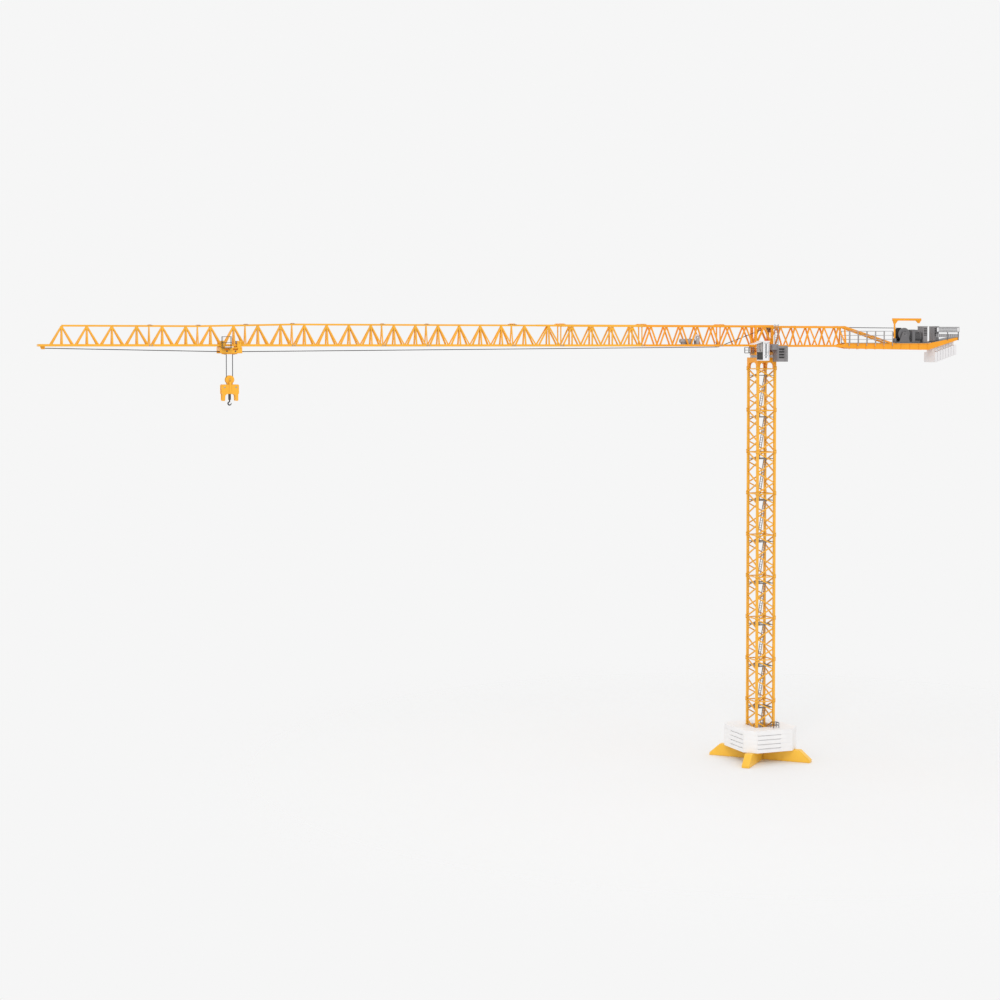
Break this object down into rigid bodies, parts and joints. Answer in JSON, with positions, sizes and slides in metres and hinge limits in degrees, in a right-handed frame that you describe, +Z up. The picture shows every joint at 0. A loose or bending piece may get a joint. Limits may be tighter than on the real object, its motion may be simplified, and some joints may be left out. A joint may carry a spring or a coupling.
{
  "type": "toy tower crane",
  "caption": "Scale model flat-top tower crane: lattice mast on a ballasted cross base, slewing jib with travelling trolley and hoisting hook block, counter-jib with winch and counterweights.",
  "frame": {"origin": "on the ground, at the middle of the cross base under the slewing axis", "axes": "+Z up along the slewing axis, the jib runs along -X and the counter-jib along +X, the cab is on the -Y side"},
  "size_m": [1.2492, 0.1046, 0.588],
  "materials": {
    "yellow_paint": "satin orange-yellow enamel",
    "white_paint": "satin white enamel",
    "grey_paint": "satin grey enamel",
    "steel": "turned steel",
    "black_plastic": "matt black",
    "rope": "dark twisted cord",
    "glass": "smoked clear glazing"
  },
  "bodies": {
    "tower": {"base_long_beam": "yellow_paint", "base_half_beams": "yellow_paint", "base_tie_bolts": "steel", "ballast_slabs": "white_paint", "mast_foot": "yellow_paint", "mast_sections": "yellow_paint", "mast_fishplates": "yellow_paint", "mast_platforms": "grey_paint", "mast_ladders": "grey_paint", "ring_support": "yellow_paint", "slewing_ring_lower": "steel"},
    "upperworks": {"slewing_ring_upper": "yellow_paint", "turntable": "yellow_paint", "slewing_motors": "grey_paint", "service_platform": "grey_paint", "cab_shell": "white_paint", "cab_glass": "glass", "cab_seat": "black_plastic", "cab_awning": "white_paint", "electrical_cabinets": "grey_paint", "tower_head": "yellow_paint", "head_ladder": "grey_paint", "jib_root_section": "yellow_paint", "jib_inner_section_1": "yellow_paint", "jib_inner_section_2": "yellow_paint", "jib_transition_section": "yellow_paint", "jib_long_sections": "yellow_paint", "jib_short_sections": "yellow_paint", "jib_tip_section": "yellow_paint", "jib_splices": "yellow_paint", "counter_jib_front": "yellow_paint", "counter_jib_girders": "yellow_paint", "counter_jib_floor": "grey_paint", "deck_handrails": "grey_paint", "banner_panel": "grey_paint", "counterweights": "white_paint", "hoist_winch_frame": "grey_paint", "hoist_motor": "grey_paint", "trolley_winch_frame": "grey_paint", "hoist_rope_outer_run": "rope", "hoist_rope_inner_run": "rope", "hoist_rope_lead": "rope"},
    "hoist_drum": {"hoist_drum": "steel", "hoist_rope_winding": "rope"},
    "head_pulley": {"head_pulley": "steel"},
    "guide_pulley": {"guide_pulley": "steel"},
    "trolley_drum": {"trolley_drum": "steel"},
    "davit": {"davit": "yellow_paint"},
    "trolley": {"trolley_frame": "yellow_paint", "trolley_basket": "grey_paint", "hoist_rope_falls": "rope"},
    "trolley_wheels_outer": {"trolley_wheels_outer": "steel"},
    "trolley_wheels_inner": {"trolley_wheels_inner": "steel"},
    "rope_roller_outer": {"rope_roller_outer": "steel"},
    "rope_roller_inner": {"rope_roller_inner": "steel"},
    "hook_block": {"hook_block_frame": "yellow_paint", "spreader_plates": "yellow_paint"},
    "block_sheave": {"block_sheave": "steel"},
    "hook": {"hook_swivel": "black_plastic", "hook": "steel"}
  },
  "joints": [
    {"name": "slew", "type": "hinge", "parent": "tower", "child": "upperworks", "pos_m": [0, 0, 0.5382], "axis": [0, 0, 1], "continuous": true},
    {"name": "trolley_travel", "type": "slide", "parent": "upperworks", "child": "trolley", "axis": [1, 0, 0], "range_m": [-0.19, 0.62], "deforming": ["hoist_rope_outer_run", "hoist_rope_inner_run"]},
    {"name": "outer_wheel_spin", "type": "hinge", "parent": "trolley", "child": "trolley_wheels_outer", "pos_m": [-0.7311, 0, 0.55415], "axis": [0, 1, 0], "continuous": true},
    {"name": "inner_wheel_spin", "type": "hinge", "parent": "trolley", "child": "trolley_wheels_inner", "pos_m": [-0.7111, 0, 0.55415], "axis": [0, 1, 0], "continuous": true},
    {"name": "outer_roller_spin", "type": "hinge", "parent": "trolley", "child": "rope_roller_outer", "pos_m": [-0.7265, 0, 0.5418], "axis": [0, 1, 0], "continuous": true},
    {"name": "inner_roller_spin", "type": "hinge", "parent": "trolley", "child": "rope_roller_inner", "pos_m": [-0.7157, 0, 0.5418], "axis": [0, 1, 0], "continuous": true},
    {"name": "hoist", "type": "slide", "parent": "trolley", "child": "hook_block", "axis": [0, 0, 1], "range_m": [-0.475, 0.022], "deforming": ["hoist_rope_falls"]},
    {"name": "block_sheave_spin", "type": "hinge", "parent": "hook_block", "child": "block_sheave", "pos_m": [-0.7211, 0, 0.5099], "axis": [0, 1, 0], "continuous": true},
    {"name": "hook_swivel", "type": "hinge", "parent": "hook_block", "child": "hook", "pos_m": [-0.7211, 0, 0.4989], "axis": [0, 0, 1], "continuous": true},
    {"name": "hoist_drum_spin", "type": "hinge", "parent": "upperworks", "child": "hoist_drum", "pos_m": [0.2165, 0, 0.5663], "axis": [0, 1, 0], "continuous": true},
    {"name": "head_pulley_spin", "type": "hinge", "parent": "upperworks", "child": "head_pulley", "pos_m": [0.012, 0, 0.5722], "axis": [0, 1, 0], "continuous": true},
    {"name": "guide_pulley_spin", "type": "hinge", "parent": "upperworks", "child": "guide_pulley", "pos_m": [-0.066, 0, 0.552], "axis": [0, 1, 0], "continuous": true},
    {"name": "trolley_drum_spin", "type": "hinge", "parent": "upperworks", "child": "trolley_drum", "pos_m": [-0.097, 0, 0.5612], "axis": [0, 1, 0], "continuous": true},
    {"name": "davit_turn", "type": "hinge", "parent": "upperworks", "child": "davit", "pos_m": [0.202, -0.0056, 0.57], "axis": [0, 0, 1], "range_deg": [-90, 90]}
  ],
  "couplings": [
    {"joint": "outer_wheel_spin", "follows": "trolley_travel", "rad_per_m": 588.24},
    {"joint": "inner_wheel_spin", "follows": "trolley_travel", "rad_per_m": 588.24},
    {"joint": "outer_roller_spin", "follows": "trolley_travel", "rad_per_m": -625},
    {"joint": "trolley_drum_spin", "follows": "trolley_travel", "rad_per_m": 294.12},
    {"joint": "inner_roller_spin", "follows": "hoist", "rad_per_m": 1250},
    {"joint": "block_sheave_spin", "follows": "hoist", "rad_per_m": -263.16},
    {"joint": "hoist_drum_spin", "follows": "hoist", "rad_per_m": 236.69},
    {"joint": "head_pulley_spin", "follows": "hoist", "rad_per_m": 555.56},
    {"joint": "guide_pulley_spin", "follows": "hoist", "rad_per_m": -645.16}
  ]
}
